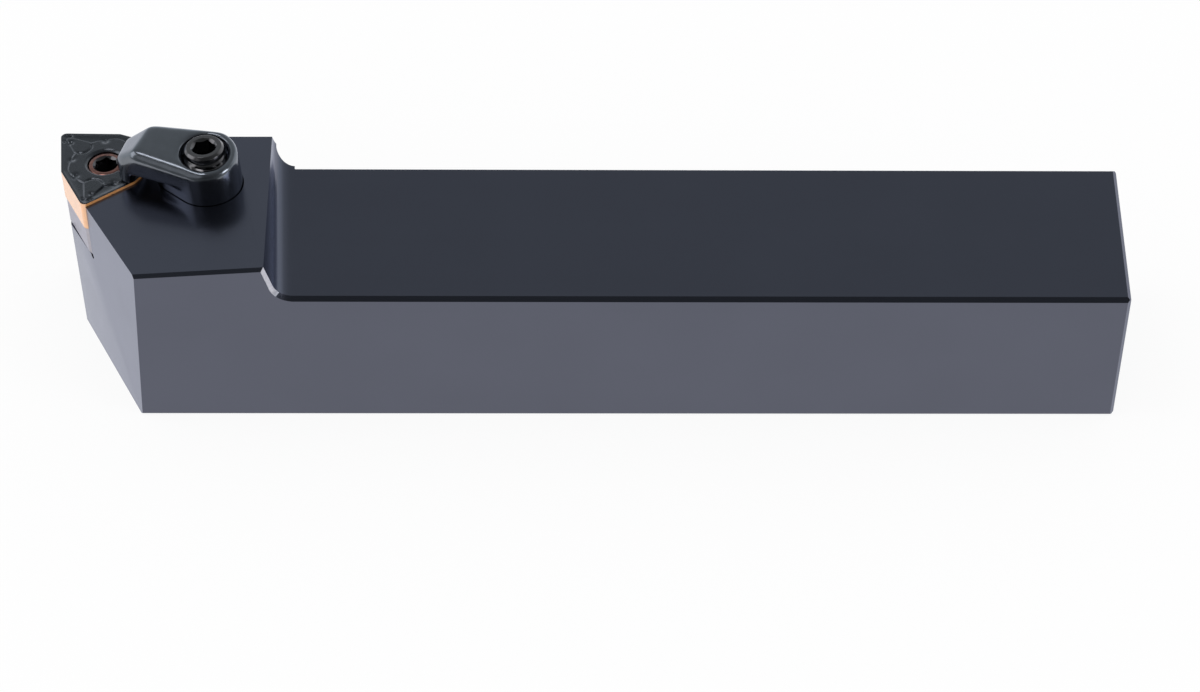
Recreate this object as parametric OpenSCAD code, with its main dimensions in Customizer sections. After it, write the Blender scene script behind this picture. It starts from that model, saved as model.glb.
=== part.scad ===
// Left hand turning tool holder with a square shank. A trigon cutting insert sits on a
// shim in an open pocket, a threaded centre pin holds both, and a double ended screw
// draws a forged finger clamp down onto the insert.
// Millimetres. X runs from the cutting tip to the tail, Y from the near side to the tip
// side, Z up from the base. The origin is at the middle of the base.

/* [Shank] */
// Length from the cutting tip to the tail
overall_len = 152.4; // [120:0.1:200]
// Width of the square shank
shank_w = 25.4; // [23:0.1:28]
// Height of the square shank, which is the height of the cutting tip too
shank_h = 25.4; // [23:0.1:32]
// Distance from the near side of the shank out to the cutting tip
tip_reach = 31.75; // [30:0.05:36]
// Bevel along the two long top edges
top_bevel = 0.6; // [0.2:0.05:1.2]
// Bevel along the two long bottom edges
base_bevel = 0.4; // [0.2:0.05:1]
// Bevel round the tail end
tail_bevel = 0.5; // [0.2:0.05:1.2]

/* [Head] */
// Distance from the cutting tip to the foot of the step, along the near side
head_len = 34.1; // [33:0.1:42]
// Lean of the step between head and shank
step_lean = 17; // [5:0.5:30]
// Turn of the step seen from above
step_turn = 1.2; // [0:0.1:3]
// Radius at the foot of the step
step_fillet = 3; // [1:0.1:5]
// Radius where the far side of the head meets the shank
side_fillet = 3; // [1:0.1:5]
// Angle of the front face, measured from square across the shank
front_angle = 25.8; // [15:0.1:35]
// How far the front face lies inside the insert's nearest corner
front_inset = 0.5; // [0.2:0.05:1.5]
// How far the relief face at the tip lies inside the insert's flank
relief_inset = 0.2; // [0.05:0.05:0.8]
// Angle at which the head's far side draws in from the tip
far_angle = 5; // [3:0.1:7]
// How far the head's far side lies inside the circle that touches the insert's edges
far_inset = 0.1; // [0.05:0.05:0.6]
// How far the head's far side stands out of the side of the shank at the least
far_rise = 0.1; // [0.05:0.05:0.5]
// How far the insert's edges stand above the top of the head
insert_proud = 0.45; // [0.2:0.05:1]
// Fall of the seat from the tail towards the tip
rake_angle = 4.9; // [2:0.1:8]
// Fall of the seat from the near side towards the tip side
side_angle = 7.4; // [3:0.1:9]

/* [Insert] */
// Diameter of the circle that touches all six edges
insert_circle = 12.7; // [12:0.1:13.5]
// Thickness between the two seating faces
insert_t = 4.76; // [3.2:0.01:6.4]
// Radius of the three cutting corners
corner_r = 0.8; // [0.4:0.1:1.2]
// Diameter of the centre hole
insert_hole_d = 5.16; // [5.1:0.01:5.5]
// Width of the bevel round the mouth of the centre hole
insert_mouth = 0.35; // [0.1:0.05:0.5]
// Turn of the insert in its seat, towards the cutting edge
insert_turn = -1; // [-2:0.1:2]
// Height of the seating face above the cutting edges
seat_rise = 0.05; // [0.02:0.01:0.15]
// Width of the flat land behind each cutting edge
edge_land = 0.3; // [0.15:0.05:0.5]
// Fall of the rake face behind the land
chip_rake = 16; // [10:0.5:22]
// Depth of the chip groove below the cutting edges
groove_depth = 0.22; // [0.1:0.01:0.3]
// Radius of the round seating face about the centre hole
seat_r = 5; // [4.4:0.05:5.1]
// Radius of the round end of each chip knob
knob_r = 1.4; // [0.8:0.05:1.6]
// Radius of the pointed end of each chip knob
knob_tip_r = 0.4; // [0.2:0.05:0.6]
// Distance from each cutting corner back to the round end of its chip knob
knob_back = 4.7; // [4.4:0.1:5]
// Distance between the two ends of each chip knob
knob_len = 2.7; // [2.2:0.1:2.9]

/* [Shim] */
// Thickness of the shim under the insert
shim_t = 4.76; // [3.2:0.01:6]
// How far the shim's sides lie inside the insert's flanks
shim_inset = 0.15; // [0.05:0.05:0.5]
// Bevel round the shim's lower edge
shim_bevel = 0.35; // [0.1:0.05:0.6]

/* [Centre pin] */
// Length of the centre pin
pin_len = 17; // [14:0.5:20]
// Diameter of the plain head inside the insert
pin_head_d = 5; // [4.6:0.05:5.05]
// Diameter of the conical collar that holds the shim
pin_collar_d = 7.6; // [7:0.1:8.5]
// Height of the straight rim of the collar
pin_rim = 0.5; // [0.2:0.1:1]
// How far the head ends below the insert's edges
pin_sink = 0.3; // [0.1:0.05:0.8]
// Bevel round the top of the head
pin_bevel = 0.2; // [0.1:0.05:0.4]

/* [Threads and key] */
// Diameter of the threads of the pin and of the clamp screw
thread_d = 6; // [5.5:0.1:6.5]
// Bevel on the ends of the threads
thread_bevel = 0.5; // [0.2:0.05:0.9]
// Width across the flats of both key sockets
key_af = 3; // [2.5:0.1:3.2]
// Depth of both key sockets
key_depth = 3; // [1.5:0.1:4.5]

/* [Clamp] */
// Distance of the clamp screw behind the pocket wall
screw_behind = 9.35; // [8.5:0.05:11]
// Distance of the clamp screw along the pocket wall from the insert's centre
screw_along = 4.25; // [3:0.05:5]
// Turn of the finger away from the centre hole
finger_turn = 3.4; // [0:0.1:6]
// Height of the clamp from its foot to its top at the screw
clamp_h = 14; // [12:0.1:16]
// Height of the clamp's top above the cutting edges, at the screw
clamp_rise = 5.7; // [4.8:0.1:7]
// Diameter of the round boss where it meets the head
boss_d = 9.7; // [9:0.1:11]
// Draft of the boss
boss_draft = 2.5; // [0.5:0.1:5]
// Distance from the screw to the round end of the guide foot
guide_reach = 4.9; // [4.2:0.1:5.2]
// Radius of the round end of the guide foot
guide_r = 2.6; // [2:0.1:3]
// Rise of the clamp's top towards the nose
top_rise = 4.5; // [0:0.1:8]
// Lean of the clamp's top towards the near side
top_lean = 6.9; // [0:0.1:9]
// Width of the finger across its walls at the nose
nose_w = 5.8; // [4:0.1:7]
// Gap between the nose and the mouth of the centre hole
nose_gap = 0.4; // [0.1:0.05:1]
// Length of the pad that presses on the insert
pad_len = 2.2; // [1.5:0.1:3]
// Height of the nose's front face
nose_h = 4; // [3:0.1:4.6]
// Fall of the sloping face above the nose
nose_slope = 35.5; // [25:0.5:50]
// Gap under the finger, above the cutting edges
under_gap = 1.8; // [1:0.1:2.4]
// Bevel along the finger's edges
finger_bevel = 0.8; // [0.3:0.05:1.2]
// Bevel round the boss's top edge
boss_bevel = 0.35; // [0.2:0.05:0.6]
// Diameter of the mouth round the screw
mouth_d = 6.9; // [6.7:0.1:7.4]
// Depth of the mouth round the screw
mouth_depth = 1.2; // [0.5:0.1:2]

/* [Clamp screw] */
// Length of the double ended screw
screw_len = 30; // [26:0.5:32]
// How far the screw stands above the clamp's top
screw_stand = 0.95; // [0.4:0.05:2]
// Length of the plain waist between the two threads
waist_len = 2.4; // [1.5:0.1:4]
// Depth of the waist below the threads
waist_depth = 0.6; // [0.3:0.05:1]

/* [Fits] */
// Gap round a thread in its hole
thread_gap = 0.05; // [0.02:0.01:0.09]
// Gap between faces that seat on each other
seat_gap = 0.01; // [0.005:0.005:0.05]
// Gap between the insert or the shim and the pocket walls
wall_gap = 0.03; // [0.01:0.01:0.1]
// Gap round the pin and its collar in the shim
pin_gap = 0.15; // [0.05:0.05:0.3]
// Gap between the clamp's foot and its recess
guide_gap = 0.12; // [0.05:0.01:0.3]
// Depth of the recess below the clamp's foot
foot_gap = 1; // [0.5:0.1:2]
// Diameter of the relief groove in the foot of the pocket
corner_groove = 0.9; // [0.4:0.05:1.2]

/* [Hidden] */
$fn = 96;
// Overlap of a cutting shape past the face that it opens
over = 0.5;
// Size of the cutting shapes that take away a whole side
bulk = overall_len;
// How far a straight side starts inside the arc that it leaves, so that the two cross
slack = 0.002;
// Overlap of two bevels where one runs into the next
blend = 0.3;
// How much narrower the land is at the cutting corners
land_taper = 0.06;
// Height of the stock above the shank, before the head is milled from it
stock = 12;
// How far the roots of the finger's walls lie inside the boss
finger_root = 0.1;

near_y = -tip_reach / 2;
tip_y = tip_reach / 2;
far_y = near_y + shank_w;
tip_x = -overall_len / 2;
tail_x = overall_len / 2;

// The insert's six corners lie on two circles: three cutting corners of 80 degrees and
// three blunt corners of 160 degrees.
in_r = insert_circle / 2;
sharp_r = in_r / sin(40);
blunt_r = in_r / sin(80);
nose_back = corner_r / sin(40);
SHARP = [15, 135, 255];
BLUNT = [75, 195, 315];
SIDES = [for (a = SHARP) each [a - 50, a + 50]];

// Seat frame: its X and Y lie in the plane of the cutting edges, its Z is square to it,
// and its origin is the insert's centre.
rx = -side_angle;
ry = -rake_angle;
ex = [cos(ry), 0, -sin(ry)];
ey = [sin(ry) * sin(rx), cos(rx), cos(ry) * sin(rx)];
// Centre of the working corner's arc in the seat frame, and where the seat's origin lies
// so that this corner touches the tip's nominal place
work_angle = 135 + insert_turn;
arc_c = (sharp_r - nose_back) * [cos(work_angle), sin(work_angle)];
seat_x = tip_x + corner_r * norm([ex[0], ey[0]]) - arc_c[0] * ex[0] - arc_c[1] * ey[0];
seat_y = tip_y - corner_r * norm([ex[1], ey[1]]) - arc_c[0] * ex[1] - arc_c[1] * ey[1];
seat_z = shank_h - (arc_c[1] + corner_r) * ey[2] - arc_c[0] * ex[2];

insert_top = seat_rise;
insert_low = insert_top - insert_t;
shim_top = insert_low - seat_gap;
shim_low = shim_top - shim_t;
floor_low = shim_low - seat_gap;
deck = -insert_proud;

// Nearest corner of the insert in plan, which sets the front face
near_angle = 255 + insert_turn;
near_corner = sharp_r * [cos(near_angle), sin(near_angle)];
corner_x = seat_x + near_corner[0] * ex[0] + near_corner[1] * ey[0];
corner_y = seat_y + near_corner[0] * ex[1] + near_corner[1] * ey[1];

// Step between head and shank, along the near side
foot_x = tip_x + head_len;
fillet_z = shank_h + step_fillet;

// Clamp frame: X towards the nose and Z along the screw
wall_angle = 325 + insert_turn;
screw_at = (in_r + screw_behind) * [cos(wall_angle), sin(wall_angle)]
    + screw_along * [cos(wall_angle + 90), sin(wall_angle + 90)];
hole_way = norm(screw_at);
finger_angle = atan2(-screw_at[1], -screw_at[0]) + finger_turn;
mouth_r = insert_hole_d / 2 + insert_mouth;
nose_x = hole_way * cos(finger_turn) - mouth_r - nose_gap;
boss_r = boss_d / 2;
foot_low = clamp_rise - clamp_h;
recess_low = foot_low - foot_gap;
pad_low = insert_top + seat_gap;
half_nose = nose_w / 2;
root_r = boss_r - finger_root;
finger_draw = asin((root_r - half_nose) / nose_x);
thread_r = thread_d / 2;
tapped_r = thread_r + thread_gap;
screw_top = clamp_rise + screw_stand;
pin_top = -pin_sink;
pin_low = pin_top - pin_len;

module on_seat() {
    translate([seat_x, seat_y, seat_z]) rotate([rx, ry, 0]) children();
}

module on_clamp() {
    on_seat() translate([screw_at[0], screw_at[1], 0]) rotate([0, 0, finger_angle]) children();
}

// Bar along X that bevels a square edge by c
module edge_bar(c, length) {
    rotate([45, 0, 0]) cube([length, c * sqrt(2), c * sqrt(2)], center = true);
}

// Everything above the XY plane
module above() {
    translate([-bulk / 2, -bulk / 2, 0]) cube(bulk);
}

// Hexagonal socket opening upwards at the origin, with its drilled point
module key_socket() {
    translate([0, 0, -key_depth]) cylinder(d = key_af / cos(30), h = key_depth + over, $fn = 6);
    translate([0, 0, -key_depth - key_af / 6]) cylinder(r1 = 0, r2 = key_af / 2, h = key_af / 6);
}

// Trigon outline with its sides moved in by inset
module trigon(inset = 0) {
    side = in_r - inset;
    r = max(corner_r - inset, 0.1);
    arc_at = side / sin(40) - r / sin(40);
    rotate(insert_turn) {
        polygon([for (i = [0:2]) each [
            for (a = [SHARP[i] - 50, SHARP[i] + 50])
                arc_at * [cos(SHARP[i]), sin(SHARP[i])] + (r - slack) * [cos(a), sin(a)],
            side / sin(80) * [cos(BLUNT[i]), sin(BLUNT[i])]
        ]]);
        for (a = SHARP) translate(arc_at * [cos(a), sin(a)]) circle(r);
    }
}

// Tear shape: two discs and the straight sides that touch both
module tear(big, small, reach) {
    a = asin((big - small) / reach);
    circle(big);
    translate([reach, 0]) circle(small);
    polygon([
        (big - slack) * [sin(a), cos(a)],
        [reach, 0] + (small - slack) * [sin(a), cos(a)],
        [reach, 0] + (small - slack) * [sin(a), -cos(a)],
        (big - slack) * [sin(a), -cos(a)]
    ]);
}

// What is milled away above the shank behind the head, seen from the side, with the
// centre of the fillet at the origin
module step_void() {
    circle(step_fillet);
    polygon([
        [0, -step_fillet],
        [bulk, -step_fillet],
        [bulk, bulk],
        [-bulk * tan(step_lean) - step_fillet / cos(step_lean), bulk],
        step_fillet * [-cos(step_lean), -sin(step_lean)],
        [0, 0]
    ]);
}

// The step, with the bevel of its near edge: a cone round the fillet and a bar up the
// leaning face
module step_cut() {
    translate([foot_x, near_y, fillet_z]) rotate([0, 0, step_turn]) {
        rotate([90, 0, 0]) linear_extrude(2 * bulk, center = true) step_void();
        rotate([-90, 0, 0]) translate([0, 0, -over])
            cylinder(r1 = step_fillet + top_bevel + over, r2 = step_fillet - over,
                h = top_bevel + 2 * over);
        rotate([0, -90 - step_lean, 0]) translate([bulk / 2 - blend, 0, step_fillet])
            edge_bar(top_bevel, bulk);
    }
}

// Far side of the shank behind the head
module side_cut() {
    translate([foot_x, far_y + side_fillet, -over]) {
        cylinder(r = side_fillet, h = bulk);
        translate([-side_fillet, 0, 0]) cube(bulk);
        translate([0, -side_fillet, 0]) cube(bulk);
    }
}

module head_cuts() {
    // Front face, upright and parallel to the insert's near edge
    translate([corner_x, corner_y, 0]) rotate([0, 0, front_angle])
        translate([front_inset - bulk, -bulk, -over]) cube([bulk, 2 * bulk, bulk]);
    // Far side, which leans under the insert and stays outside the side of the shank
    intersection() {
        on_seat() rotate([0, 0, 90 - far_angle])
            translate([in_r - far_inset, -head_len, -bulk / 2])
                cube([bulk, 2 * head_len, bulk]);
        translate([-bulk, far_y + far_rise, -over]) cube([2 * bulk, bulk, bulk]);
    }
    on_seat() {
        // Relief face at the tip
        rotate([0, 0, 185 + insert_turn]) translate([in_r - relief_inset, -head_len, -bulk / 2])
            cube([bulk, 2 * head_len, bulk]);
        // Top, parallel to the cutting edges, with the bevel of its near edge
        translate([0, 0, deck]) above();
        translate([0, (near_y - seat_y) / ey[1], deck]) rotate([side_angle / 2, 0, 0])
            edge_bar(top_bevel, bulk);
    }
}

module shank_bevels() {
    translate([0, near_y, 0]) edge_bar(base_bevel, 2 * bulk);
    translate([foot_x + bulk, far_y, 0]) edge_bar(base_bevel, 2 * bulk);
    for (y = [near_y, far_y]) {
        translate([foot_x + bulk - blend, y, shank_h]) edge_bar(top_bevel, 2 * bulk);
        translate([tail_x, y, shank_h / 2]) rotate([0, 90, 0]) edge_bar(tail_bevel, bulk);
    }
    for (z = [0, shank_h])
        translate([tail_x, 0, z]) rotate([0, 0, 90]) edge_bar(tail_bevel, bulk);
}

// Open pocket for shim and insert: a floor and two walls that meet at 160 degrees, with
// a relief groove along the foot of each wall
module pocket() {
    wall = in_r + wall_gap;
    blunt = wall / sin(80);
    on_seat() rotate([0, 0, 315 + insert_turn]) translate([blunt, 0, floor_low]) {
        linear_extrude(bulk) polygon([
            [0, 0],
            bulk * [cos(100), sin(100)],
            [-bulk, bulk],
            [-bulk, -bulk],
            bulk * [cos(100), -sin(100)]
        ]);
        for (s = [-1, 1]) rotate([0, 90, 100 * s]) cylinder(d = corner_groove, h = bulk);
    }
}

module holder() color([0.28, 0.29, 0.32]) difference() {
    translate([tip_x - over, near_y, 0])
        cube([overall_len + over, tip_reach + over, shank_h + stock]);
    step_cut();
    side_cut();
    head_cuts();
    shank_bevels();
    pocket();
    // Recess for the clamp's foot, and the tapped holes of the two screws
    on_clamp() {
        translate([0, 0, recess_low]) linear_extrude(bulk)
            tear(boss_r + guide_gap, guide_r + guide_gap, guide_reach);
        translate([0, 0, -bulk]) cylinder(r = tapped_r, h = bulk);
    }
    on_seat() translate([0, 0, -bulk]) cylinder(r = tapped_r, h = bulk);
}

module shim() color([0.62, 0.6, 0.64]) on_seat() difference() {
    intersection() {
        translate([0, 0, shim_low]) linear_extrude(shim_t) trigon(shim_inset);
        intersection_for(a = SIDES) rotate([0, 0, a + insert_turn])
            translate([in_r - shim_inset - shim_bevel, 0, shim_low]) rotate([0, -45, 0]) above();
    }
    translate([0, 0, shim_low - over]) cylinder(r = tapped_r + pin_gap, h = shim_t + 2 * over);
    // Seat for the pin's collar
    translate([0, 0, shim_top - pin_rim]) cylinder(r = pin_collar_d / 2 + pin_gap, h = bulk);
}

module insert() color([0.16, 0.17, 0.18]) on_seat() translate([0, 0, insert_low + insert_t / 2])
    difference() {
        union() {
            linear_extrude(insert_t - 2 * seat_rise, center = true) trigon();
            linear_extrude(insert_t, center = true) seating_face();
        }
        for (side = [0, 1]) mirror([0, 0, side]) {
            translate([0, 0, insert_t / 2 - seat_rise]) chip_groove();
            translate([0, 0, insert_t / 2 - insert_mouth])
                cylinder(r1 = insert_hole_d / 2, r2 = mouth_r + over, h = insert_mouth + over);
        }
        cylinder(d = insert_hole_d, h = bulk, center = true);
    }

// Raised face about the hole, with a tear shaped knob towards each cutting corner
module seating_face() {
    circle(seat_r);
    rotate(insert_turn) for (a = SHARP) rotate(a) translate([sharp_r - knob_back, 0])
        tear(knob_r, knob_tip_r, knob_len);
}

// Chip groove below the plane of the cutting edges: rake faces that fall from the lands
// to a flat floor, all round the seating face
module chip_groove() {
    difference() {
        intersection() {
            translate([0, 0, -groove_depth]) linear_extrude(groove_depth + over)
                trigon(edge_land - land_taper);
            intersection_for(a = SIDES) rotate([0, 0, a + insert_turn])
                translate([in_r - edge_land, 0, 0]) rotate([0, -chip_rake, 0]) above();
        }
        linear_extrude(bulk, center = true) seating_face();
    }
}

module centre_pin() color([0.45, 0.3, 0.26]) on_seat() difference() {
    collar_r = pin_collar_d / 2;
    head_r = pin_head_d / 2;
    rotate_extrude() polygon([
        [0, pin_low],
        [thread_r - thread_bevel, pin_low],
        [thread_r, pin_low + thread_bevel],
        [thread_r, shim_top - pin_rim],
        [collar_r, shim_top - pin_rim],
        [collar_r, shim_top],
        [head_r, shim_top],
        [head_r, pin_top - pin_bevel],
        [head_r - pin_bevel, pin_top],
        [0, pin_top]
    ]);
    translate([0, 0, pin_top]) key_socket();
}

// Plan of the finger: its walls leave the boss and draw in towards the nose, whose two
// corners are cut off
module finger_plan() {
    c = finger_bevel;
    polygon([
        [0, 0],
        root_r * [sin(finger_draw), -cos(finger_draw)],
        [nose_x - c, -half_nose - c * tan(finger_draw)],
        [nose_x, -half_nose + c],
        [nose_x, half_nose - c],
        [nose_x - c, half_nose + c * tan(finger_draw)],
        root_r * [sin(finger_draw), cos(finger_draw)]
    ]);
}

// Bars that bevel the finger's two edges along one of its faces: y is half the face's
// width at its origin and a the angle at which the edges draw in
module finger_edges(y, a) {
    for (s = [-1, 1]) translate([0, s * y, 0]) rotate([0, 0, -s * a])
        edge_bar(finger_bevel, 2 * nose_x);
}

// Ring that bevels the boss's top edge behind the finger
module boss_rim() {
    rim_r = boss_r - (clamp_rise - under_gap) * tan(boss_draft);
    intersection() {
        rotate_extrude() polygon([
            [rim_r - boss_bevel, 0],
            [boss_r + over, rim_r - boss_bevel - boss_r - over],
            [boss_r + over, 0]
        ]);
        translate([root_r * sin(finger_draw) - bulk, -bulk / 2, -bulk / 2]) cube(bulk);
    }
}

module clamp() color([0.1, 0.11, 0.13]) on_clamp() difference() {
    union() {
        translate([0, 0, foot_low]) linear_extrude(under_gap - foot_low)
            tear(boss_r, guide_r, guide_reach);
        translate([0, 0, under_gap]) {
            cylinder(r1 = boss_r, r2 = boss_r - clamp_h * tan(boss_draft), h = clamp_h);
            linear_extrude(clamp_h) finger_plan();
        }
        // Pad under the nose
        translate([0, 0, pad_low]) linear_extrude(under_gap) intersection() {
            finger_plan();
            translate([nose_x - pad_len, -boss_r]) square([pad_len, boss_d]);
        }
    }
    // Upper face, and the sloping face above the nose
    translate([0, 0, clamp_rise]) rotate([-top_lean, -top_rise, 0]) {
        above();
        finger_edges(half_nose + nose_x * tan(finger_draw), finger_draw);
        boss_rim();
    }
    translate([nose_x, 0, nose_h]) rotate([0, nose_slope, 0]) {
        above();
        finger_edges(half_nose, atan(tan(finger_draw) * cos(nose_slope)));
    }
    // Bore for the screw and its mouth
    translate([0, 0, foot_low - over]) cylinder(r = tapped_r, h = bulk);
    translate([0, 0, clamp_rise - mouth_depth]) cylinder(d = mouth_d, h = bulk);
}

module clamp_screw() color([0.14, 0.14, 0.16]) on_clamp() difference() {
    low = screw_top - screw_len;
    mid = screw_top - screw_len / 2;
    waist_r = thread_r - waist_depth;
    rotate_extrude() polygon([
        [0, low],
        [thread_r - thread_bevel, low],
        [thread_r, low + thread_bevel],
        [thread_r, mid - waist_len / 2 - waist_depth],
        [waist_r, mid - waist_len / 2],
        [waist_r, mid + waist_len / 2],
        [thread_r, mid + waist_len / 2 + waist_depth],
        [thread_r, screw_top - thread_bevel],
        [thread_r - thread_bevel, screw_top],
        [0, screw_top]
    ]);
    translate([0, 0, screw_top]) key_socket();
}

holder();
shim();
insert();
centre_pin();
clamp();
clamp_screw();
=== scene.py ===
"""Looks of a left hand turning tool holder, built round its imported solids.

A square shank of dark oxidised steel carries a trigon cutting insert in an open pocket. A
threaded pin holds insert and shim, and a double ended screw draws a forged finger clamp
down on them. Lengths are in millimetres until a piece is finished, and in metres after.
"""
import logging
import math
from dataclasses import dataclass, field
from enum import Enum
from typing import Callable, Optional

import bmesh
import bpy
from mathutils import Matrix, Vector


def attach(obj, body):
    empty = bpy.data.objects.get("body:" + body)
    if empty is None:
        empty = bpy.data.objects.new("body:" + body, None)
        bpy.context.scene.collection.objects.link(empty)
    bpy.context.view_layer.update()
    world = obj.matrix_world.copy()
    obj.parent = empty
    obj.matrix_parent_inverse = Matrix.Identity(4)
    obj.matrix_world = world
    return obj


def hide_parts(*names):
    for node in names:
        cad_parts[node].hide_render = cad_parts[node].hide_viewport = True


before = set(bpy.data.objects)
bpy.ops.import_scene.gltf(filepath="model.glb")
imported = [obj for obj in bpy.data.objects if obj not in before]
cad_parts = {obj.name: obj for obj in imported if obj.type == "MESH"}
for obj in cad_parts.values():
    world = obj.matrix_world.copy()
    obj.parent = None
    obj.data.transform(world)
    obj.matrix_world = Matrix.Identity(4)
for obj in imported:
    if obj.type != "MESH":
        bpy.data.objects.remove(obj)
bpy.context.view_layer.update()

logging.basicConfig(level=logging.INFO, format="%(message)s")
log = logging.getLogger("tool_holder")

MM = 0.001
AXIS_R = 0.001
Triple = tuple[float, float, float]


def polar(radius: float, degrees: float, z: float = 0.0) -> Vector:
    """Point at a radius and an angle about Z.

    Args:
        radius: Distance from the axis.
        degrees: Angle from X towards Y.
        z: Height of the point.

    Returns:
        The point.
    """
    a = math.radians(degrees)
    return Vector((radius * math.cos(a), radius * math.sin(a), z))


def smooth(low: float, high: float, value: float) -> float:
    """Soft step from 0 at low to 1 at high.

    Args:
        low: Value at which the step starts.
        high: Value at which the step ends.
        value: Value to look up.

    Returns:
        A share from 0 to 1.
    """
    t = min(1.0, max(0.0, (value - low) / (high - low)))
    return t * t * (3 - 2 * t)


class Body(Enum):
    """Rigid bodies of the tool holder that pieces ride on."""

    HOLDER = "holder"
    SCREW = "clamp_screw"
    CLAMP = "clamp"


class Hand(Enum):
    """Ways in which a thread turns."""

    RIGHT = 1
    LEFT = -1


@dataclass(frozen=True)
class Seat:
    """Places of the insert's seat and of the clamp, from the holder's own sizes."""

    overall_len: float = 152.4
    tip_reach: float = 31.75
    shank_h: float = 25.4
    rake_angle: float = 4.9
    side_angle: float = 7.4
    insert_circle: float = 12.7
    corner_r: float = 0.8
    half_corner: float = 40.0
    tip_angle: float = 135.0
    wall_angle: float = 325.0
    insert_turn: float = -1.0
    screw_behind: float = 9.35
    screw_along: float = 4.25
    finger_turn: float = 3.4
    step_bevel: float = 0.6
    step_x: float = -44.0
    step_room: float = 5.0
    step_lean: float = 0.15

    @property
    def in_r(self) -> float:
        """Radius of the circle that touches the insert's six edges."""
        return self.insert_circle / 2

    def out(self, reach: float) -> float:
        """Distance from the centre of a point on a corner's line, that far from its sides."""
        return reach / math.sin(math.radians(self.half_corner))

    def tilt(self) -> Matrix:
        """Turn of the seat against the shank, as two tilts."""
        rake = Matrix.Rotation(math.radians(-self.rake_angle), 4, "Y")
        return rake @ Matrix.Rotation(math.radians(-self.side_angle), 4, "X")

    def matrix(self) -> Matrix:
        """Place of the seat frame, whose origin is the middle of the cutting edges' plane.

        Returns:
            The seat's frame in millimetres in the shank's frame.
        """
        tilt = self.tilt()
        ex, ey = tilt.col[0].to_3d(), tilt.col[1].to_3d()
        arc = polar(self.out(self.in_r - self.corner_r), self.tip_angle + self.insert_turn)
        arc_at = arc.x * ex + arc.y * ey
        x = -self.overall_len / 2 + self.corner_r * math.hypot(ex.x, ey.x) - arc_at.x
        y = self.tip_reach / 2 - self.corner_r * math.hypot(ex.y, ey.y) - arc_at.y
        z = self.shank_h - self.corner_r * ey.z - arc_at.z
        return Matrix.Translation((x, y, z)) @ tilt

    def on_step_bevel(self, face: bmesh.types.BMFace) -> bool:
        """Tells whether a face of the holder is the bevel up the near edge of its step.

        Args:
            face: A face of the holder, in millimetres in the shank's frame.

        Returns:
            True for the bevel's own faces.
        """
        at = face.calc_center_median()
        low = self.shank_h + self.step_bevel
        in_place = at.y < self.step_bevel - self.tip_reach / 2 and at.z > low
        near_step = abs(at.x - self.step_x) < self.step_room
        return in_place and near_step and face.normal.x > self.step_lean

    def clamp_matrix(self) -> Matrix:
        """Place of the clamp frame: X towards the nose, Z along the clamp's screw.

        Returns:
            The clamp's frame in millimetres in the shank's frame.
        """
        wall = self.wall_angle + self.insert_turn
        screw = polar(self.in_r + self.screw_behind, wall) + polar(self.screw_along, wall + 90)
        finger = math.atan2(-screw.y, -screw.x) + math.radians(self.finger_turn)
        return self.matrix() @ Matrix.Translation(screw) @ Matrix.Rotation(finger, 4, "Z")


class Graph:
    """A material's nodes, added and joined in short calls."""

    def __init__(self, name: str) -> None:
        """Makes a material with one principled shader.

        Args:
            name: Name of the material.
        """
        self.material = bpy.data.materials.new(name)
        self.material.use_nodes = True
        self.tree = self.material.node_tree
        self.shader = self.tree.nodes["Principled BSDF"]
        self.place = self.add("ShaderNodeTexCoord").outputs["Object"]

    def add(self, kind: str, **settings: object) -> bpy.types.Node:
        """Adds a node.

        Args:
            kind: Blender's name for the kind of node.
            **settings: Attributes of the node.

        Returns:
            The node.
        """
        node = self.tree.nodes.new(kind)
        for key, value in settings.items():
            setattr(node, key, value)
        return node

    def put(self, node: bpy.types.Node, values: dict[str, object]) -> bpy.types.Node:
        """Sets or joins inputs of a node.

        Args:
            node: The node.
            values: For each input's name, a plain value or another node's output.

        Returns:
            The same node.
        """
        for name, value in values.items():
            if isinstance(value, bpy.types.NodeSocket):
                self.tree.links.new(value, node.inputs[name])
            else:
                node.inputs[name].default_value = value
        return node

    def noise(
        self, size: float, stretch: Triple = (1.0, 1.0, 1.0), detail: float = 3.0,
    ) -> bpy.types.NodeSocket:
        """Cloudy pattern in object space.

        Args:
            size: Size of its blotches in millimetres.
            stretch: How many times longer the blotches are along each axis.
            detail: Number of finer layers.

        Returns:
            The pattern, from 0 to 1.
        """
        scale = tuple(1 / (size * MM * s) for s in stretch)
        mapped = self.put(self.add("ShaderNodeMapping"), {"Vector": self.place, "Scale": scale})
        made = self.add("ShaderNodeTexNoise")
        self.put(made, {"Vector": mapped.outputs[0], "Scale": 1.0, "Detail": detail})
        return made.outputs["Fac"]

    def spread(self, source: bpy.types.NodeSocket, low: float, high: float) -> bpy.types.NodeSocket:
        """Stretches the middle of a pattern over a range.

        Args:
            source: The pattern, from 0 to 1.
            low: Result where the pattern is 0.3.
            high: Result where the pattern is 0.7.

        Returns:
            The stretched pattern.
        """
        node = self.put(
            self.add("ShaderNodeMapRange"),
            {"Value": source, "From Min": 0.3, "From Max": 0.7, "To Min": low, "To Max": high},
        )
        return node.outputs["Result"]


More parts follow.
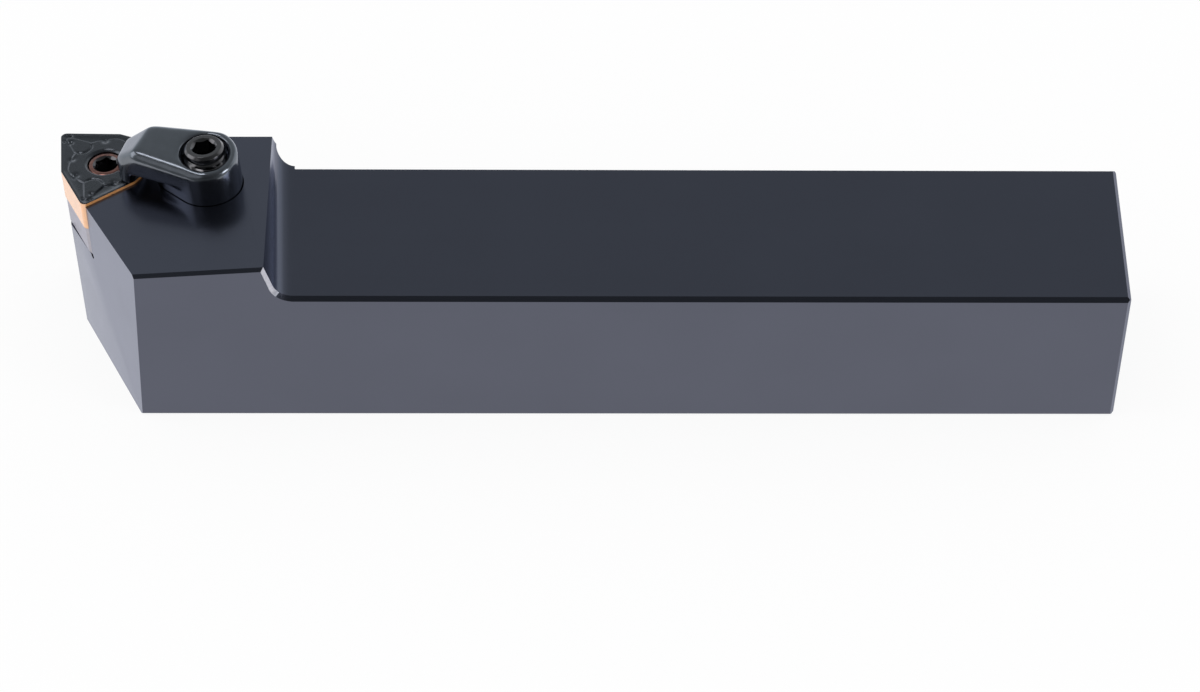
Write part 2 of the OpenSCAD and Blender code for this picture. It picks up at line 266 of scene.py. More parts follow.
@dataclass(frozen=True)
class Finish:
    """A metal surface: its colour, its gloss, and the grain that the last cut left."""

    name: str
    colour: Triple
    edge_tint: Triple = (0.9, 0.92, 1.0)
    metallic: float = 1.0
    roughness: float = 0.35
    uneven: float = 0.03
    film: float = 0.0
    film_roughness: float = 0.15
    film_index: float = 1.5
    mottle: float = 0.12
    mottle_size: float = 6.0
    grain: float = 0.004
    grain_size: float = 0.12
    stretch: Triple = (1.0, 1.0, 1.0)

    def material(self) -> bpy.types.Material:
        """Builds the finish as nodes.

        Returns:
            The material.
        """
        graph = Graph(self.name)
        blotch = graph.noise(self.mottle_size, detail=4.0)
        mix = graph.add("ShaderNodeMix", data_type="RGBA")
        dark = tuple(c * (1 - self.mottle) for c in self.colour)
        light = tuple(min(1.0, c * (1 + self.mottle)) for c in self.colour)
        graph.put(mix, {"Factor": graph.spread(blotch, 0.0, 1.0)})
        # inputs 6 and 7 are the colours A and B
        mix.inputs[6].default_value = (*dark, 1.0)
        mix.inputs[7].default_value = (*light, 1.0)
        grain = graph.noise(self.grain_size, self.stretch, detail=2.0)
        gloss = graph.spread(
            graph.noise(self.mottle_size / 3, self.stretch),
            self.roughness - self.uneven,
            self.roughness + self.uneven,
        )
        bump = graph.add("ShaderNodeBump")
        graph.put(bump, {"Height": grain, "Strength": 1.0, "Distance": self.grain * MM})
        graph.put(
            graph.shader,
            {
                "Base Color": mix.outputs[2],
                "Metallic": self.metallic,
                "Roughness": gloss,
                "Specular Tint": (*self.edge_tint, 1.0),
                "Coat Weight": self.film,
                "Coat Roughness": self.film_roughness,
                "Coat IOR": self.film_index,
                "Normal": bump.outputs["Normal"],
            },
        )
        return graph.material


GROUND_OXIDE = Finish(
    "ground_oxide", (0.084, 0.09, 0.122), edge_tint=(0.82, 0.85, 0.98), roughness=0.22, uneven=0.02,
    film=0.5, film_roughness=0.2, mottle=0.025, mottle_size=14.0, grain=0.0008, grain_size=0.07,
    stretch=(30.0, 1.0, 1.0),
)
# A much lighter steel for the bevel up the near edge of the holder's step: a painted highlight
# where that bevel catches the light.
STEP_BEVEL_HIGHLIGHT = Finish(
    "step_bevel_highlight", (0.56, 0.56, 0.62), roughness=0.3, mottle=0.12, mottle_size=0.5, grain=0.006,
    grain_size=0.2,
)
FORGED_OXIDE = Finish(
    "forged_oxide", (0.155, 0.168, 0.19), edge_tint=(0.85, 0.89, 1.0), roughness=0.2, uneven=0.03,
    film=0.6, film_roughness=0.15, mottle=0.06, mottle_size=1.6, grain=0.003, grain_size=0.45,
)
# Dark oxide of the clamp screw. On the centre pin it covers only the hex socket's walls and floor,
# as painted shade inside the socket.
TURNED_OXIDE_AND_SOCKET_SHADE = Finish(
    "turned_oxide_and_socket_shade", (0.072, 0.068, 0.07), roughness=0.17, film=1.0, film_roughness=0.12,
    mottle=0.12, mottle_size=1.2, grain=0.002, grain_size=0.2,
)
DARK_COATING = Finish(
    "dark_coating", (0.044, 0.049, 0.058), roughness=0.26, film=0.8, film_roughness=0.22,
    mottle=0.2, mottle_size=0.25, grain=0.003, grain_size=0.12,
)
GOLD_COATING = Finish(
    "gold_coating", (0.95, 0.43, 0.14), edge_tint=(1.0, 0.97, 1.0), metallic=0.2, roughness=0.4,
    film=1.0, film_roughness=0.16, film_index=2.6, mottle=0.06, mottle_size=1.0, grain=0.002,
    grain_size=0.1, stretch=(1.0, 1.0, 0.4),
)
HARD_METAL = Finish(
    "hard_metal", (0.43, 0.41, 0.445), roughness=0.36, mottle=0.08, mottle_size=0.8,
    grain=0.002, grain_size=0.12,
)
TEMPERED_STEEL = Finish(
    "tempered_steel", (0.25, 0.1, 0.075), edge_tint=(1.0, 0.85, 0.8), roughness=0.2,
    film=1.0, film_roughness=0.14, mottle=0.4, mottle_size=0.7, grain=0.002, grain_size=0.15,
)


@dataclass
class Piece:
    """A finished piece of the tool holder: its name, its body and the solid it stands for."""

    name: str
    body: Body
    slot: str
    node: str
    merge: float = 0.012

    def solid(self) -> bmesh.types.BMesh:
        """Copies the solid that the piece stands for.

        Returns:
            Its merged mesh in millimetres.
        """
        bm = bmesh.new()
        bm.from_mesh(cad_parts[self.node].data)
        bm.transform(Matrix.Scale(1 / MM, 4))
        bmesh.ops.remove_doubles(bm, verts=bm.verts, dist=self.merge)
        return bm

    @staticmethod
    def corner_normals(bm: bmesh.types.BMesh, sharp: float) -> list[Vector]:
        """Weighs the faces round each corner by area, so that broad flat faces stay flat.

        Args:
            bm: The shape.
            sharp: Angle in degrees from which faces don't count for each other.

        Returns:
            A direction for each corner of each face, in order.
        """
        bm.faces.index_update()
        limit = math.cos(math.radians(sharp))
        area = {face.index: face.calc_area() for face in bm.faces}
        normals = []
        for face in bm.faces:
            for corner in face.loops:
                total = Vector()
                for other in corner.vert.link_loops:
                    if other.face.normal.dot(face.normal) > limit:
                        total += other.face.normal * area[other.face.index] * other.calc_angle()
                normals.append(total.normalized() if total.length > 0 else face.normal.copy())
        return normals

    def finish(
        self, bm: bmesh.types.BMesh, place: Matrix, finishes: list[Finish],
        sharp: float = 35.0, turn_out: bool = True,
    ) -> bpy.types.Object:
        """Turns a bmesh in millimetres into the piece, in place and riding on its body.

        Args:
            bm: The shape. It is freed.
            place: Its frame, in millimetres in the shank's frame.
            finishes: The finishes that its faces' numbers stand for.
            sharp: Angle in degrees from which an edge stays sharp.
            turn_out: Whether its faces are first turned outwards.

        Returns:
            The piece's object.
        """
        bm.transform(Matrix.Scale(MM, 4) @ place)
        if turn_out:
            bmesh.ops.recalc_face_normals(bm, faces=bm.faces)
        bm.normal_update()
        normals = self.corner_normals(bm, sharp) if sharp < 180 else None
        mesh = bpy.data.meshes.new(self.name)
        bm.to_mesh(mesh)
        bm.free()
        for finish in finishes:
            mesh.materials.append(finish.material())
        mesh.shade_smooth()
        if normals:
            mesh.normals_split_custom_set(normals)
        piece = bpy.data.objects.new(self.name, mesh)
        bpy.context.scene.collection.objects.link(piece)
        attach(piece, self.body.value)
        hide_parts(self.node)
        return piece


class Loft:
    """A skin that is drawn ring by ring from a circle of vertices."""

    def __init__(self, segments: int) -> None:
        """Starts the skin.

        Args:
            segments: Number of vertices in each ring.
        """
        self.bm = bmesh.new()
        self.turn = self.bm.verts.layers.float.new("turn")
        self.segments = segments
        self.edges: list[bmesh.types.BMEdge] = []

    def ring(self, place: Callable[[float], Vector], finish: int = 0) -> None:
        """Draws the skin on to the next ring.

        Args:
            place: Gives the ring's point for an angle in degrees.
            finish: Number of the finish between the last ring and this one.
        """
        if self.edges:
            made = bmesh.ops.extrude_edge_only(self.bm, edges=self.edges)["geom"]
            for face in (g for g in made if isinstance(g, bmesh.types.BMFace)):
                face.material_index = finish
        else:
            made = bmesh.ops.create_circle(self.bm, segments=self.segments, radius=1.0)["verts"]
            for vert in made:
                vert[self.turn] = math.degrees(math.atan2(vert.co.y, vert.co.x))
            made = made + list(dict.fromkeys(e for v in made for e in v.link_edges))
        self.edges = [g for g in made if isinstance(g, bmesh.types.BMEdge)]
        verts = [g for g in made if isinstance(g, bmesh.types.BMVert)]
        for vert in verts:
            vert.co = place(vert[self.turn])

    def circle(self, radius: float, z: float, finish: int = 0) -> None:
        """Draws the skin on to a round ring at a height."""
        self.ring(lambda a: polar(radius, a, z), finish)

    def close(self, z: float, finish: int = 0) -> None:
        """Ends the skin in one point on the axis.

        Args:
            z: Height of the point.
            finish: Number of the finish of the last faces.
        """
        self.circle(AXIS_R, z, finish)
        verts = list(dict.fromkeys(v for e in self.edges for v in e.verts))
        bmesh.ops.pointmerge(self.bm, verts=verts, merge_co=(0.0, 0.0, z))


@dataclass
class Thread:
    """A metric thread between two heights on the Z axis."""

    low: float
    high: float
    radius: float = 3.0
    pitch: float = 1.0
    depth: float = 0.58
    crest: float = 0.15
    flank: float = 0.7
    chamfer: float = 0.5
    hand: Hand = Hand.RIGHT
    steps: int = 10

    def at(self, degrees: float, z: float) -> float:
        """Radius of the thread at an angle and a height.

        Args:
            degrees: Angle about the axis.
            z: Height on the axis.

        Returns:
            The radius in millimetres.
        """
        turn = (z / self.pitch - self.hand.value * degrees / 360) % 1.0
        away = abs(2 * turn - 1)
        cut = self.depth * min(1.0, max(0.0, (away - self.crest) / self.flank))
        ends = min(z - self.low, self.high - z)
        return min(self.radius - cut, self.radius - self.chamfer + ends)

    def draw(self, loft: Loft, finish: int = 0) -> None:
        """Draws a skin along the thread, upwards.

        Args:
            loft: The skin, which ends at the thread's lower end.
            finish: Number of the thread's finish.
        """
        rings = round((self.high - self.low) / self.pitch * self.steps)
        for i in range(rings + 1):
            z = self.low + (self.high - self.low) * i / rings
            loft.ring(lambda a: polar(self.at(a, z), a, z), finish)


@dataclass
class HexSocket:
    """A hexagonal socket that opens upwards."""

    flats: float = 3.0
    depth: float = 3.0
    lead_r: float = 1.86
    lead_edge: tuple[float, float] = (0.03, 0.02)
    corner_share: float = 0.565
    floor_share: float = 0.46
    cone_share: float = 0.16

    def hexagon(self, degrees: float) -> float:
        """Radius of the socket's wall at an angle, with its corners cut off."""
        across = math.radians((degrees + 30) % 60 - 30)
        return min(self.flats / 2 / math.cos(across), self.flats * self.corner_share)

    def draw(self, loft: Loft, top: float, wall: int = 0) -> None:
        """Draws a skin from the end face down into the socket and closes it.

        Args:
            loft: The skin, which ends on the end face.
            top: Height of the end face.
            wall: Number of the finish of the socket's walls and floor.
        """
        loft.circle(self.lead_r + self.lead_edge[0], top)
        loft.circle(self.lead_r, top - self.lead_edge[1])
        loft.ring(lambda a: polar(self.hexagon(a), a, top + self.hexagon(a) - self.lead_r), wall)
        floor = top - self.depth
        loft.ring(lambda a: polar(self.hexagon(a), a, floor), wall)
        loft.circle(self.flats * self.floor_share, floor, wall)
        loft.close(floor - self.flats * self.cone_share, wall)


@dataclass
class TrigonInsert:
    """The cutting insert, with pressed chip grooves and seating faces on both sides."""

    seat: Seat
    thickness: float = 4.76
    hole_r: float = 2.58
    mouth: float = 0.35
    mouth_break: tuple[float, float] = (0.04, 0.1)
    seat_rise: float = 0.05
    land: float = 0.3
    rake: float = 16.0
    groove_depth: float = 0.22
    groove_turn: float = 1.6
    face_r: float = 4.95
    knob_back: float = 4.7
    knob_r: float = 1.35
    knob_tip_r: float = 0.35
    knob_len: float = 2.7
    knob_wall: float = 0.336
    wall: float = 0.42
    wall_start: float = -0.08
    lobe: float = 0.3
    edge_round: float = 0.035
    edge_fall: float = 0.6
    edge_break: float = 0.02
    ditch_depth: float = 0.17
    ditch_place: tuple[float, float] = (0.05, 0.18)
    ditch_start: tuple[float, float] = (3.4, 4.0)
    ditch_end: tuple[float, float] = (-0.5, 0.1)
    dimple_depth: float = 0.24
    ring_bias: float = 0.8
    halvings: int = 40
    least: float = 1e-6
    merge: float = 1e-4
    sharp: float = 40.0
    segments: int = 432
    rings: int = 72
    dimples: tuple[Triple, ...] = (
        (3.69, -3.17, 0.5), (8.28, -0.52, 0.3), (7.1, 0.43, 0.34), (8.13, 0.87, 0.2),
        (4.1, 2.75, 0.45),
    )
    corners: tuple[int, ...] = (15, 135, 255)
    rims: dict[float, float] = field(default_factory=dict)

    @property
    def sharp_r(self) -> float:
        """Distance of the cutting corners, before they are rounded, from the centre."""
        return self.seat.out(self.seat.in_r)

    def inset(self, point: Vector) -> float:
        """Distance of a point inside the trigon outline.

        Args:
            point: A point in the insert's own frame.

        Returns:
            The distance in millimetres, negative outside.
        """
        arc_at = self.sharp_r - self.seat.out(self.seat.corner_r)
        side = 90 - self.seat.half_corner
        for corner in self.corners:
            away = point.xy - polar(arc_at, corner).xy
            turned = abs((math.degrees(math.atan2(away.y, away.x)) - corner + 180) % 360 - 180)
            if away.length > self.least and turned < side:
                return self.seat.corner_r - away.length
        sides = (polar(1.0, corner + s).xy for corner in self.corners for s in (-side, side))
        return self.seat.in_r - max(point.xy.dot(way) for way in sides)

    def rim(self, degrees: float) -> float:
        """Distance of the outline from the centre at an angle, by halving.

        Args:
            degrees: Angle in the insert's own frame.

        Returns:
            The distance in millimetres.
        """
        if degrees in self.rims:
            return self.rims[degrees]
        low, high = 0.0, self.sharp_r
        for _ in range(self.halvings):
            middle = (low + high) / 2
            if self.inset(polar(middle, degrees)) > 0:
                low = middle
            else:
                high = middle
        self.rims[degrees] = low
        return low

    def knob(self, point: Vector) -> float:
        """Distance of a point outside the nearest tear shaped knob, negative inside.

        Args:
            point: A point in the insert's own frame.

        Returns:
            The distance in millimetres.
        """
        nearest = math.inf
        for corner in self.corners:
            local = Matrix.Rotation(math.radians(-corner), 4, "Z") @ point
            along = min(self.knob_len, max(0.0, local.x - (self.sharp_r - self.knob_back)))
            share = along / self.knob_len
            radius = self.knob_r + (self.knob_tip_r - self.knob_r) * share
            away = Vector((local.x - (self.sharp_r - self.knob_back) - along, local.y)).length
            nearest = min(nearest, away - radius)
        return nearest

    def height(self, point: Vector) -> float:
        """Height of the pressed face above the plane of the cutting edges.

        Args:
            point: A point in the insert's own frame.

        Returns:
            The height in millimetres.
        """
        inset = self.inset(point)
        fall = math.tan(math.radians(self.rake)) * max(0.0, inset - self.land)
        groove = -self.groove_depth * (1 - math.exp(-self.groove_turn * fall / self.groove_depth))
        if inset < self.edge_round:
            groove = -(self.edge_round - inset) * self.edge_fall
        angle = math.degrees(math.atan2(point.y, point.x))
        wave = math.cos(math.radians(3 * (angle - self.corners[0] - 60)))
        face = point.xy.length - self.face_r - self.lobe * max(0.0, wave) ** 3
        knob = self.knob(point)
        rise = self.seat_rise + self.groove_depth
        raised = 1 - min(
            smooth(self.wall_start, self.wall, face),
            smooth(self.wall_start, self.knob_wall, knob),
        )
        top = max(groove, -self.groove_depth + rise * raised) if raised > 0 else groove
        ditch = smooth(*self.ditch_start, point.xy.length) * (1 - smooth(*self.ditch_end, face))
        middle, width = self.ditch_place
        top -= self.ditch_depth * ditch * math.exp(-((knob - middle) / width) ** 2)
        for corner in self.corners:
            local = Matrix.Rotation(math.radians(-corner), 4, "Z") @ point
            for x, y, size in self.dimples:
                away = math.hypot(local.x - x, local.y - y)
                if away < 2 * size:
                    top -= self.dimple_depth * math.exp(-((away / size) ** 2))
        return top

    def pressed(self, degrees: float, share: float, side: int) -> Vector:
        """Point of a pressed face.

        Args:
            degrees: Angle in the insert's own frame.
            share: Share of the way from the mouth of the hole to the cutting edge.
            side: 1 for the upper face and -1 for the lower one.

        Returns:
            The point.
        """
        mouth = self.hole_r + self.mouth
        at = polar(mouth + (self.rim(degrees) - mouth) * share, degrees)
        at.z = side * (self.thickness / 2 - self.seat_rise + self.height(at))
        return at

    def draw_face(self, loft: Loft, side: int, outwards: bool) -> None:
        """Draws one pressed face, between the mouth of the hole and the cutting edge.

        Args:
            loft: The skin.
            side: 1 for the upper face and -1 for the lower one.
            outwards: Whether the skin runs from the hole to the edge.
        """
        shares = [(i / self.rings) ** self.ring_bias for i in range(self.rings + 1)]
        for share in shares if outwards else reversed(shares):
            loft.ring(lambda a: self.pressed(a, share, side))

    def build(self) -> bpy.types.Object:
        """Builds and dresses the insert.

        Returns:
            Its object.
        """
        loft = Loft(self.segments)
        half = self.thickness / 2
        flare, rise = self.mouth_break
        loft.circle(self.hole_r, self.mouth - half)
        loft.circle(self.hole_r, half - self.mouth)
        loft.circle(self.hole_r + flare, half - self.mouth + rise)
        self.draw_face(loft, 1, outwards=True)
        edge = half - self.seat_rise - self.edge_fall * self.edge_round - self.edge_break
        loft.ring(lambda a: polar(self.rim(a), a, edge))
        loft.ring(lambda a: polar(self.rim(a), a, 0.0), finish=1)
        loft.ring(lambda a: polar(self.rim(a), a, -edge), finish=1)
        self.draw_face(loft, -1, outwards=False)
        loft.circle(self.hole_r, self.mouth - half)
        bmesh.ops.remove_doubles(loft.bm, verts=loft.bm.verts, dist=self.merge)
        seat = self.seat
        place = (
            seat.matrix()
            @ Matrix.Translation((0, 0, self.seat_rise - half))
            @ Matrix.Rotation(math.radians(seat.insert_turn), 4, "Z")
        )
        piece = Piece("trigon_insert", Body.HOLDER, "insert_coating", "insert")
        return piece.finish(loft.bm, place, [DARK_COATING, GOLD_COATING], sharp=self.sharp)


@dataclass
class CentrePin:
    """The threaded pin that holds the shim with its collar and the insert with its head."""

    seat: Seat
    length: float = 17.0
    sink: float = 0.3
    head_r: float = 2.5
    collar_r: float = 3.8
    collar_h: float = 0.5
    collar_break: float = 0.06
    body_r: float = 3.0
    body_rise: float = 0.7
    end_r: float = 1.2
    thread_gap: float = 0.3
    neck_break: float = 0.1
    bevel: float = 0.2
    bevel_crown: float = 0.05
    shim_top: float = -4.72
    shim_low: float = -9.48
    merge: float = 0.003
    segments: int = 72
    socket: HexSocket = field(default_factory=HexSocket)

    def build(self) -> bpy.types.Object:
        """Builds and dresses the pin.

        Returns:
            Its object.
        """
        low = -self.sink - self.length
        top = -self.sink
        thread = Thread(low, self.shim_low - self.thread_gap)
        loft = Loft(self.segments)
        loft.circle(AXIS_R, low)
        loft.circle(self.end_r, low)
        thread.draw(loft)
        neck_r = thread.radius - thread.depth
        collar_low = self.shim_top - self.collar_h
        collar_in = self.collar_r - self.collar_break
        for radius, z in (
            (neck_r, self.shim_low),
            (neck_r + self.neck_break, self.shim_low + self.neck_break),
            (self.body_r, self.shim_low + self.body_rise),
            (self.body_r, collar_low),
            (collar_in, collar_low),
            (self.collar_r, collar_low + self.collar_break),
            (self.collar_r, self.shim_top - self.collar_break),
            (collar_in, self.shim_top),
            (self.head_r, self.shim_top),
            (self.head_r, top - self.bevel),
            (self.head_r - self.bevel_crown, top - self.bevel / 2),
            (self.head_r - self.bevel, top),
        ):
            loft.circle(radius, z)
        # The socket's walls and floor take the second finish, a near black that paints the shade
        # inside the socket.
        self.socket.draw(loft, top, wall=1)
        bmesh.ops.remove_doubles(loft.bm, verts=loft.bm.verts, dist=self.merge)
        piece = Piece("centre_pin_threaded", Body.HOLDER, "pin_steel", "centre_pin")
        return piece.finish(loft.bm, self.seat.matrix(), [TEMPERED_STEEL, TURNED_OXIDE_AND_SOCKET_SHADE])


@dataclass
class ClampScrew:
    """The double ended screw: a right hand thread below its waist and a left hand one above."""

    seat: Seat
    length: float = 30.0
    top: float = 6.65
    waist: float = 2.4
    waist_depth: float = 0.6
    waist_break: float = 0.1
    end_r: float = 1.6
    crown: float = 0.36
    neck: float = 0.9
    neck_r: float = 2.84
    neck_break: float = 0.1
    merge: float = 0.003
    segments: int = 72
    socket: HexSocket = field(default_factory=HexSocket)

    def crown_line(self) -> tuple[tuple[float, float], ...]:
        """Outline of the crown, whose two corners are rounded.

        Returns:
            Distances inside the neck's radius and below the end face, upwards.
        """
        return (
            (0.0, self.crown + 0.05), (0.04, self.crown - 0.04), (self.crown - 0.06, 0.06),
            (self.crown - 0.02, 0.015), (self.crown + 0.04, 0.0),
        )

    def build(self) -> bpy.types.Object:
        """Builds and dresses the screw.

        Returns:
            Its object.
        """
        low = self.top - self.length
        middle = self.top - self.length / 2
        lower = Thread(low, middle - self.waist / 2)
        upper = Thread(middle + self.waist / 2, self.top - self.crown - self.neck, hand=Hand.LEFT)
        root = lower.radius - self.waist_depth
        loft = Loft(self.segments)
        loft.circle(AXIS_R, low)
        loft.circle(self.end_r, low)
        lower.draw(loft)
        loft.circle(root, lower.high + self.waist_break)
        loft.circle(root, upper.low - self.waist_break)
        upper.draw(loft)
        loft.circle(self.neck_r, upper.high + self.neck_break)
        for inwards, down in self.crown_line():
            loft.circle(self.neck_r - inwards, self.top - down)
        self.socket.draw(loft, self.top)
        bmesh.ops.remove_doubles(loft.bm, verts=loft.bm.verts, dist=self.merge)
        piece = Piece("double_screw", Body.SCREW, "screw_steel", "clamp_screw")
        return piece.finish(loft.bm, self.seat.clamp_matrix(), [TURNED_OXIDE_AND_SOCKET_SHADE])


@dataclass
class MachinedPart:
    """A milled piece, whose solid keeps its form and gets broken edges here."""

    piece: Piece
    finishes: tuple[Finish, ...]
    edge: float = 0.12
    segments: int = 3
    turned: float = 28.0
    shortest: float = 0.25
    thinnest: float = 0.002
    flat: float = 0.6
    sharp: float = 32.0
    # Picks the faces that take the second finish, a painted highlight.
    highlighted: Optional[Callable[[bmesh.types.BMFace], bool]] = None

    def build(self) -> bpy.types.Object:
        """Merges the solid's triangles, breaks its outer edges and dresses it.

        Returns:
            Its object.
        """
        bm = self.piece.solid()
        bmesh.ops.dissolve_degenerate(bm, edges=bm.edges, dist=self.thinnest)
        bmesh.ops.dissolve_limit(
            bm, angle_limit=math.radians(self.flat), verts=bm.verts, edges=bm.edges,
        )
        if self.highlighted:
            for face in bm.faces:
                # Faces on the step's bevel take the second finish, a lighter colour that paints a
                # highlight on them.
                face.material_index = 1 if self.highlighted(face) else 0
        edges = [
            e for e in bm.edges
            if e.is_manifold and e.is_convex and e.calc_length() > self.shortest
            and e.calc_face_angle() > math.radians(self.turned)
        ]
        log.info("%s: %d edges of %d are broken", self.piece.name, len(edges), len(bm.edges))
        bmesh.ops.bevel(
            bm, geom=edges, offset=self.edge, offset_type="OFFSET", affect="EDGES",
            segments=self.segments, profile=0.5, material=-1, clamp_overlap=True,
        )
        return self.piece.finish(
            bm, Matrix.Identity(4), list(self.finishes), sharp=self.sharp, turn_out=False,
        )


@dataclass
class ForgedPart:
    """A forged piece, whose solid is worn soft along all its edges, inner ones too."""

    piece: Piece
    finish: Finish
    voxel: float = 0.12
    passes: int = 70
    wear: float = 0.5
    sharp: float = 180.0

    def build(self) -> bpy.types.Object:
        """Draws an even skin over the solid, wears it soft and dresses it.

        Returns:
            Its object.
        """
        bm = self.piece.solid()
        blank = bpy.data.objects.new("blank", bpy.data.meshes.new("blank"))
        bm.to_mesh(blank.data)
        bm.free()
        bpy.context.scene.collection.objects.link(blank)
        skin = blank.modifiers.new("skin", "REMESH")
        skin.mode = "VOXEL"
        skin.voxel_size = self.voxel
        made = bpy.data.meshes.new_from_object(
            blank.evaluated_get(bpy.context.evaluated_depsgraph_get())
        )
        bpy.data.objects.remove(blank)
        bm = bmesh.new()
        bm.from_mesh(made)
        bpy.data.meshes.remove(made)
        for _ in range(self.passes):
            bmesh.ops.smooth_vert(
                bm, verts=bm.verts, factor=self.wear,
                use_axis_x=True, use_axis_y=True, use_axis_z=True,
            )
        return self.piece.finish(bm, Matrix.Identity(4), [self.finish], sharp=self.sharp)


@dataclass(frozen=True)
class PhotoCamera:
    """The camera, where it stood for the product picture."""

    azimuth: float = -2.98
    elevation: float = 49.221
    roll: float = 2.332
    place: Triple = (-0.0225, -0.4721, 0.5450)
    focal_px: float = 4915.0
    width_px: float = 1200.0
    sensor: float = 36.0
    clip: tuple[float, float] = (0.01, 20.0)

    def build(self) -> bpy.types.Object:
        """Adds the camera and makes it the scene's own.

        Returns:
            The camera's object.
        """
        az, el, roll = (math.radians(a) for a in (self.azimuth, self.elevation, self.roll))
        back = Vector((math.sin(az) * math.cos(el), -math.cos(az) * math.cos(el), math.sin(el)))
        right = Vector((0, 0, 1)).cross(back).normalized()
        up = back.cross(right)
        across = math.cos(roll) * right + math.sin(roll) * up
        upright = math.cos(roll) * up - math.sin(roll) * right
        data = bpy.data.cameras.new("photo_camera")
        data.sensor_width = self.sensor
        data.sensor_fit = "HORIZONTAL"
        data.lens = self.focal_px / self.width_px * self.sensor
        data.clip_start, data.clip_end = self.clip
        camera = bpy.data.objects.new("photo_camera", data)
        turn = Matrix((across, upright, back)).transposed()
        camera.matrix_world = Matrix.Translation(self.place) @ turn.to_4x4()
        bpy.context.scene.collection.objects.link(camera)
        bpy.context.scene.camera = camera
        return camera


@dataclass(frozen=True)
class SoftBox:
    """A square studio lamp that faces the tool holder."""

    name: str
    towards: Triple
    distance: float
    side: float
    radiance: float
    tint: Triple = (0.95, 0.96, 1.0)

    def build(self) -> bpy.types.Object:
        """Adds the lamp.

        Returns:
            The lamp's object.
        """
        data = bpy.data.lights.new(self.name, "AREA")
        data.shape = "SQUARE"
        data.size = self.side
        data.energy = self.radiance * math.pi * self.side**2
        data.color = self.tint
        lamp = bpy.data.objects.new(self.name, data)
        way = Vector(self.towards).normalized()
        lamp.location = way * self.distance
        lamp.rotation_euler = way.to_track_quat("Z", "Y").to_euler()
        lamp.visible_camera = False
        bpy.context.scene.collection.objects.link(lamp)
        return lamp


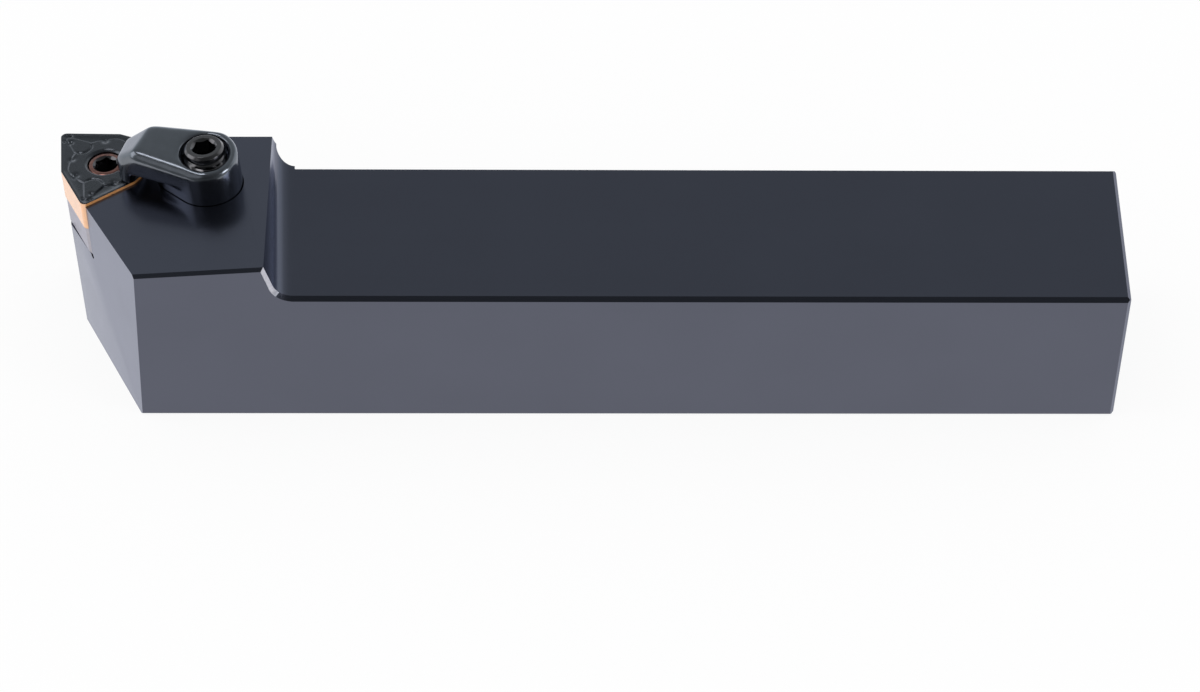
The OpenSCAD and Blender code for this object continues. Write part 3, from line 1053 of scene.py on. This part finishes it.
@dataclass
class Studio:
    """A pale floor, a soft sky and a few soft lamps."""

    floor_side: float = 6.0
    floor_front: float = 0.13
    floor_colour: float = 0.9
    floor_glow: float = 0.9
    floor_rough: float = 0.9
    floor_gloss: float = 0.1
    sky: float = 0.8
    front_dim: float = 0.12
    front_range: tuple[float, float] = (-0.95, 0.4)
    dome_tint: Triple = (0.89, 0.96, 1.0)
    ramp: tuple[tuple[float, float], ...] = (
        (0.0, 1.0), (0.3, 0.6), (0.56, 0.44), (0.76, 0.36), (1.0, 0.3),
    )
    lamps: tuple[SoftBox, ...] = (
        SoftBox("key_lamp", (-0.42, 0.0, 1.0), 1.3, 0.42, 3.4),
        SoftBox("right_lamp", (0.85, 0.45, 0.5), 1.3, 0.8, 0.32),
        SoftBox("left_lamp", (-0.9, 0.0, 0.45), 1.3, 0.8, 1.5),
        SoftBox("front_lamp", (0.78, -0.38, 0.4), 1.3, 0.42, 5.5),
        SoftBox("near_lamp", (-0.62, -0.57, 0.54), 1.3, 0.5, 0.35),
    )

    @staticmethod
    def seen(tree: bpy.types.NodeTree, *others: str) -> bpy.types.NodeSocket:
        """Adds nodes that tell which rays see a surface: the camera's, or others named.

        Args:
            tree: The nodes of the floor or the sky.
            *others: Names of the other rays that count.

        Returns:
            1 for those rays and 0 for the light that falls on things.
        """
        path = tree.nodes.new("ShaderNodeLightPath")
        total = path.outputs["Is Camera Ray"]
        for name in others:
            add = tree.nodes.new("ShaderNodeMath")
            add.operation = "ADD"
            add.use_clamp = True
            tree.links.new(total, add.inputs[0])
            tree.links.new(path.outputs[name], add.inputs[1])
            total = add.outputs[0]
        return total

    def build_floor(self) -> bpy.types.Object:
        """Adds the floor, which keeps a faint shadow on white.

        Returns:
            The floor's object.
        """
        bm = bmesh.new()
        bmesh.ops.create_grid(bm, x_segments=1, y_segments=1, size=self.floor_side / 2)
        for vert in bm.verts:
            vert.co.y = max(vert.co.y, -self.floor_front)
        mesh = bpy.data.meshes.new("floor")
        bm.to_mesh(mesh)
        bm.free()
        material = bpy.data.materials.new("floor_paper")
        material.use_nodes = True
        tree = material.node_tree
        shader = tree.nodes["Principled BSDF"]
        shader.inputs["Base Color"].default_value = (*[self.floor_colour] * 3, 1.0)
        shader.inputs["Roughness"].default_value = self.floor_rough
        shader.inputs["Specular IOR Level"].default_value = self.floor_gloss
        glow = tree.nodes.new("ShaderNodeEmission")
        glow.inputs["Strength"].default_value = 1.0
        share = tree.nodes.new("ShaderNodeMath")
        share.operation = "MULTIPLY"
        share.inputs[1].default_value = self.floor_glow
        seen = self.seen(tree, "Is Glossy Ray", "Is Transmission Ray")
        tree.links.new(seen, share.inputs[0])
        mix = tree.nodes.new("ShaderNodeMixShader")
        tree.links.new(share.outputs[0], mix.inputs[0])
        tree.links.new(shader.outputs[0], mix.inputs[1])
        tree.links.new(glow.outputs[0], mix.inputs[2])
        tree.links.new(mix.outputs[0], tree.nodes["Material Output"].inputs["Surface"])
        mesh.materials.append(material)
        floor = bpy.data.objects.new("floor", mesh)
        bpy.context.scene.collection.objects.link(floor)
        return floor

    def build_sky(self) -> bpy.types.World:
        """Adds the sky: white to camera and glass, and to gloss a dome that darkens upwards.

        Returns:
            The world.
        """
        world = bpy.data.worlds.new("studio")
        bpy.context.scene.world = world
        world.use_nodes = True
        tree = world.node_tree
        nodes, links = tree.nodes, tree.links
        even = nodes["Background"]
        even.inputs["Color"].default_value = (1.0, 1.0, 1.0, 1.0)
        even.inputs["Strength"].default_value = self.sky
        way = nodes.new("ShaderNodeSeparateXYZ")
        links.new(nodes.new("ShaderNodeTexCoord").outputs["Generated"], way.inputs[0])
        ramp = nodes.new("ShaderNodeValToRGB")
        links.new(way.outputs["Z"], ramp.inputs[0])
        elements = ramp.color_ramp.elements
        for i, (at, grey) in enumerate(self.ramp):
            if i > 1:
                elements.new(at)
            elements[i].position = at
            elements[i].color = (*(grey * c for c in self.dome_tint), 1.0)
        front = nodes.new("ShaderNodeMapRange")
        front.inputs["From Min"].default_value = self.front_range[0]
        front.inputs["From Max"].default_value = self.front_range[1]
        front.inputs["To Min"].default_value = self.front_dim
        front.inputs["To Max"].default_value = 1.0
        links.new(way.outputs["Y"], front.inputs["Value"])
        dome = nodes.new("ShaderNodeBackground")
        links.new(ramp.outputs["Color"], dome.inputs["Color"])
        links.new(front.outputs["Result"], dome.inputs["Strength"])
        white = nodes.new("ShaderNodeBackground")
        white.inputs["Color"].default_value = (1.0, 1.0, 1.0, 1.0)
        path = nodes.new("ShaderNodeLightPath")
        gloss = nodes.new("ShaderNodeMixShader")
        links.new(path.outputs["Is Glossy Ray"], gloss.inputs[0])
        links.new(even.outputs[0], gloss.inputs[1])
        links.new(dome.outputs[0], gloss.inputs[2])
        final = nodes.new("ShaderNodeMixShader")
        links.new(self.seen(tree, "Is Transmission Ray"), final.inputs[0])
        links.new(gloss.outputs[0], final.inputs[1])
        links.new(white.outputs[0], final.inputs[2])
        links.new(final.outputs[0], nodes["World Output"].inputs["Surface"])
        return world

    def build(self) -> None:
        """Adds floor, sky and lamps, and sets how colours are shown."""
        self.build_floor()
        self.build_sky()
        for lamp in self.lamps:
            lamp.build()
        bpy.context.scene.view_settings.view_transform = "Standard"


def main() -> None:
    """Builds the studio and every piece, in order."""
    PhotoCamera().build()
    Studio().build()
    seat = Seat()
    parts = (
        MachinedPart(
            Piece("holder_body", Body.HOLDER, "holder_steel", "holder"),
            # The bevel up the step's near edge gets a painted highlight.
            (GROUND_OXIDE, STEP_BEVEL_HIGHLIGHT), highlighted=seat.on_step_bevel,
        ),
        MachinedPart(
            Piece("shim_plate", Body.HOLDER, "shim_metal", "shim"), (HARD_METAL,), edge=0.06,
        ),
        ForgedPart(Piece("finger_clamp", Body.CLAMP, "clamp_steel", "clamp"), FORGED_OXIDE),
        TrigonInsert(seat),
        CentrePin(seat),
        ClampScrew(seat),
    )
    for part in parts:
        piece = part.build()
        log.info("%s: %d faces", piece.name, len(piece.data.polygons))


if __name__ == "__main__":
    main()
